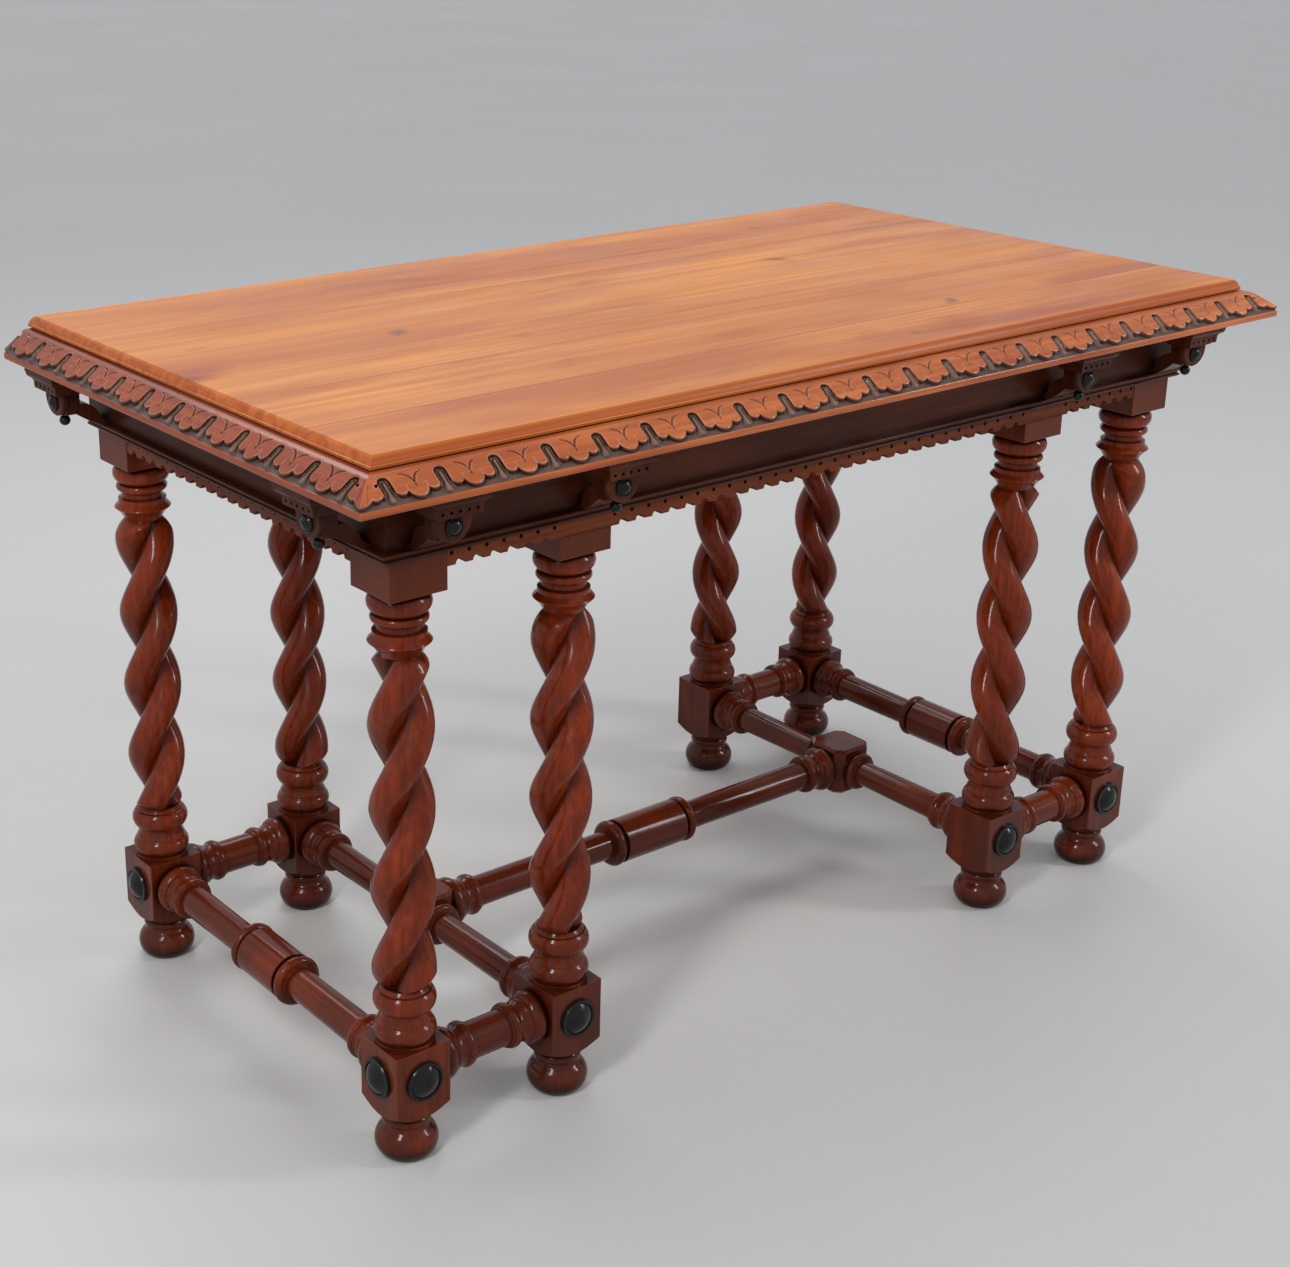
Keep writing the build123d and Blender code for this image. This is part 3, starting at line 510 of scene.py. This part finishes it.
def build_carved_edges():
    """Front and end mouldings with their leaves and darts, in place of the plain strips."""
    low, high = (np.array(corner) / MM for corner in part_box("carved_edge_front"))
    board_low, _ = (np.array(corner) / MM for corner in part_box("top_board_front"))
    _, end_high = (np.array(corner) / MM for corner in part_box("carved_edge_left"))
    centre = middle_y()
    lip_x = -low[0]
    lip_y = centre - low[1]
    shared = {"board": board_low[2], "lip_bottom": low[2]}
    front = dict(shared, face=centre - high[1], foot=lip_y - LIP_OUT,
                 shoulder=lip_y - LIP_OUT - BOARD_GROOVE, start=-lip_x, end=lip_x,
                 mitre_start=True, mitre_end=True, first=-lip_x + CORNER_TO_SLOT,
                 pitch=2 * (lip_x - CORNER_TO_SLOT) / (FRONT_SLOTS - 1))
    run = end_high[1] - centre + lip_y
    side = dict(shared, face=-end_high[0], foot=lip_x - LIP_OUT,
                shoulder=lip_x - LIP_OUT - BOARD_GROOVE, start=-lip_y, end=end_high[1] - centre,
                mitre_start=True, mitre_end=False, first=-lip_y + CORNER_TO_SLOT,
                pitch=(run - CORNER_TO_SLOT) / END_SPACES)
    front_material = carved_material("carved_front", "X", 3.0, **EDGE)
    # The end mouldings take the darker copy of the edge colours as painted shade.
    side_material = carved_material("carved_ends", "Y", 5.0, **EDGE_SHADED)

    def at_front(along, out, up):
        return np.stack([along, centre - out, up], axis=-1)

    def at_left(along, out, up):
        return np.stack([-out, centre + along, up], axis=-1)

    def at_right(along, out, up):
        return np.stack([out, centre + along, up], axis=-1)

    builds = (("front", front, at_front, front_material), ("left", side, at_left, side_material),
              ("right", side, at_right, side_material))
    for name, sides, to_space, material in builds:
        strip = carved_strip(f"edge_carving_{name}", sides, to_space, material, name == "left")
        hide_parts(f"carved_edge_{name}")
        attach(strip, "root")


# ---- Finishes of the CAD nodes -----------------------------------------------------------

def finish_nodes():
    """Give every CAD node that stays its own wood, grain running the way the piece does."""
    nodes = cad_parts
    legs = wood("leg_mahogany", "Z", **DEEP, rough=0.15, coat=0.16, hollow_shade=0.95, reach=0.05,
                tone_by_height=True, seed=11.0)
    black = ebonised("ebonised")
    sombre_x = wood("sombre_x", "X", **SOMBRE, rough=0.34, seed=21.0)
    sombre_y = wood("sombre_y", "Y", **SOMBRE, rough=0.34, seed=22.0)
    bracket = wood("bracket_wood", "Z", **SOMBRE, rough=0.34, seed=23.0)
    russet_x = wood("russet_x", "X", **RUSSET, rough=0.36, seed=31.0)
    russet_y = wood("russet_y", "Y", **RUSSET, rough=0.36, seed=32.0)
    turned = dict(DEEP, rough=0.17, coat=0.15, hollow_shade=0.9, reach=0.045, tone_by_height=True)
    stretch_x = wood("stretcher_x", "X", **turned, seed=41.0)
    stretch_y = wood("stretcher_y", "Y", **turned, seed=42.0)
    back_strip = wood("back_strip", "X", **EDGE, rough=0.4, coat=0.1, seed=45.0)
    raw = wood("unfinished", "X", **RAW, rough=0.6, wear=0.1, seed=51.0)
    screws = steel("screw_steel")
    along_x = ("stretcher_front", "stretcher_back", "stretcher_middle")
    for name, obj in nodes.items():
        if name.startswith("top_board"):
            paint(obj, top_wood(name, BOARD_SEEDS[name]))
        elif name.startswith("leg"):
            paint(obj, legs)
        elif name.startswith("stretcher"):
            paint(obj, stretch_x if name.startswith(along_x) else stretch_y)
        elif name in ("bracket_bosses", "bracket_pendants", "foot_block_bosses"):
            paint(obj, black)
        elif name.startswith("bracket"):
            paint(obj, bracket)
        elif name.startswith("apron"):
            paint(obj, russet_x if name.endswith("front") else russet_y)
        elif name.startswith("frieze"):
            paint(obj, sombre_x if name.endswith(("front", "back")) else sombre_y)
        elif name == "back_edge_strip":
            paint(obj, back_strip)
        elif name == "top_screws":
            paint(obj, screws)
        elif not name.startswith("carved_edge"):
            paint(obj, raw)


def top_wood(name, seed):
    """Glossy honey board with long grain, a few knots and reddish drifts."""
    w = Wood(f"wood_{name}", "X")
    drift = w.span(w.noise(1.6, 9.0, 3.0, 0.8, seed), 0.3, 0.72)
    figure = w.span(w.noise(1.6, 110.0, 6.0, 0.5, seed + 1), 0.3, 0.7)
    fine = w.span(w.noise(14.0, 700.0, 3.0, 0.0, seed + 2), 0.35, 0.75)
    red = w.span(w.noise(2.6, 12.0, 2.0, 1.0, seed + 3), 0.56, 0.78)
    colour = w.blend(drift, HONEY["dark"], HONEY["light"])
    colour = w.blend(w.math("MULTIPLY", figure, 0.52), colour, HONEY["streak"])
    colour = w.blend(w.math("MULTIPLY", fine, 0.25), colour, (0.2, 0.06, 0.015))
    colour = w.blend(w.math("MULTIPLY", red, 0.8), colour, (0.34, 0.062, 0.012))
    knots = w.span(w.noise(7.0, 16.0, 1.0, 0.5, seed + 5), 0.72, 0.79)
    colour = w.blend(w.math("MULTIPLY", knots, 0.7), colour, (0.12, 0.03, 0.01))
    facing = w.node("ShaderNodeSeparateXYZ")
    w.link(w.node("ShaderNodeNewGeometry").outputs["Normal"], facing.inputs["Vector"])
    edge = w.span(facing.outputs["Z"], 0.98, 0.6)
    side = w.blend(figure, (0.44, 0.105, 0.026), (0.30, 0.058, 0.014))
    colour = w.blend(w.math("MULTIPLY", edge, 0.9), colour, side)
    # Painted shade: seams and recesses of the boards darken towards near black.
    shade = w.math("SUBTRACT", 1.0, w.span(w.hollows(0.006), 0.3, 0.85))
    colour = w.blend(w.math("MULTIPLY", shade, 0.85), colour, (0.03, 0.008, 0.004))
    worn = w.edges(0.0015, 0.5)
    colour = w.blend(worn, colour, (0.7, 0.33, 0.12))
    w.link(colour, w.shader.inputs["Base Color"])
    smears = w.noise(6.0, 18.0, 4.0, 0.8, seed + 4)
    w.link(w.span(smears, 0.3, 0.7, 0.24, 0.36), w.shader.inputs["Roughness"])
    w.bump(w.math("ADD", figure, fine), 0.12, 0.0002)
    w.polish(0.12, 0.02, 0.12)
    return w.material


# ---- Room, lights and camera -----------------------------------------------------------------

CAMERA_LENS = 58.84
CAMERA_SHIFT = (0.1039, -0.0523)
CAMERA_ANGLES = (0.6535, 0.3424, 0.0053)     # yaw, pitch and roll, radians
CAMERA_PLACE = (-1.5881, -1.7928, 1.3018)    # y from the middle of the leg rows
CAMERA_RIGHT = (0.794, -0.608, 0.0)


def floor():
    """Large pale floor, plainly mottled."""
    bpy.ops.mesh.primitive_plane_add(size=30.0, location=(0.0, 0.0, -0.0002))
    plane = bpy.context.object
    plane.name = "studio_floor"
    w = Wood("floor_grey", "X")
    mottle = w.noise(1.3, 1.3, 5.0, 0.3)
    w.link(w.blend(mottle, (0.53, 0.522, 0.50), (0.57, 0.562, 0.54)), w.shader.inputs["Base Color"])
    w.link(w.span(mottle, 0.3, 0.7, 0.42, 0.55), w.shader.inputs["Roughness"])
    paint(plane, w.material)


def area_light(name, place, target, size, power):
    """Soft box at place, facing target."""
    data = bpy.data.lights.new(name, "AREA")
    data.shape = "RECTANGLE"
    data.size, data.size_y = size
    data.energy = power
    lamp = bpy.data.objects.new(name, data)
    lamp.location = place
    lamp.rotation_euler = (Vector(target) - Vector(place)).to_track_quat("-Z", "Y").to_euler()
    bpy.context.scene.collection.objects.link(lamp)


def backdrop():
    """Even world light, a little stronger from the left of the camera than from its right."""
    world = bpy.context.scene.world or bpy.data.worlds.new("studio")
    bpy.context.scene.world = world
    world.use_nodes = True
    background = world.node_tree.nodes["Background"]
    background.inputs["Strength"].default_value = 1.0
    tree = world.node_tree
    place = tree.nodes.new("ShaderNodeTexCoord")
    across = tree.nodes.new("ShaderNodeVectorMath")
    across.operation = "DOT_PRODUCT"
    across.inputs[1].default_value = CAMERA_RIGHT
    span = tree.nodes.new("ShaderNodeMapRange")
    span.inputs["From Min"].default_value = -0.35
    span.inputs["From Max"].default_value = 0.35
    mix = tree.nodes.new("ShaderNodeMix")
    mix.data_type = "RGBA"
    mix.inputs[6].default_value = (0.76, 0.765, 0.80, 1.0)
    mix.inputs[7].default_value = (0.58, 0.61, 0.66, 1.0)
    tree.links.new(place.outputs["Generated"], across.inputs[0])
    tree.links.new(across.outputs["Value"], span.inputs["Value"])
    tree.links.new(span.outputs["Result"], mix.inputs[0])
    tree.links.new(mix.outputs[2], background.inputs["Color"])
    bpy.context.scene.view_settings.view_transform = "Standard"


def lights():
    """Three soft boxes; the two at the sides stand upright for long highlights on the legs."""
    area_light("key_left", (-2.6, -1.2, 2.6), (0.0, 0.0, 0.5), (0.45, 1.3), 48.0)
    area_light("top_back", (0.6, 2.2, 2.8), (0.0, 0.0, 0.7), (1.8, 1.0), 26.0)
    area_light("fill_right", (2.4, -2.2, 2.0), (0.2, 0.0, 0.4), (0.4, 1.3), 36.0)


def camera():
    """Three-quarter view from above the front left corner."""
    data = bpy.data.cameras.new("camera")
    data.sensor_width = 36.0
    data.lens = CAMERA_LENS
    data.shift_x, data.shift_y = CAMERA_SHIFT
    yaw, pitch, roll = CAMERA_ANGLES
    ahead = Vector((math.sin(yaw) * math.cos(pitch), math.cos(yaw) * math.cos(pitch), -math.sin(pitch)))
    right = Vector((math.cos(yaw), -math.sin(yaw), 0.0))
    up = right.cross(ahead)
    level = math.cos(roll) * right + math.sin(roll) * up
    upright = math.cos(roll) * up - math.sin(roll) * right
    view = bpy.data.objects.new("camera", data)
    rotation = Matrix((level, upright, -ahead)).transposed().to_4x4()
    x, y, z = CAMERA_PLACE
    place = Vector((x, y + middle_y() * MM, z))
    view.matrix_world = Matrix.Translation(place) @ rotation
    bpy.context.scene.collection.objects.link(view)
    bpy.context.scene.camera = view


build_carved_edges()
finish_nodes()
floor()
backdrop()
lights()
camera()
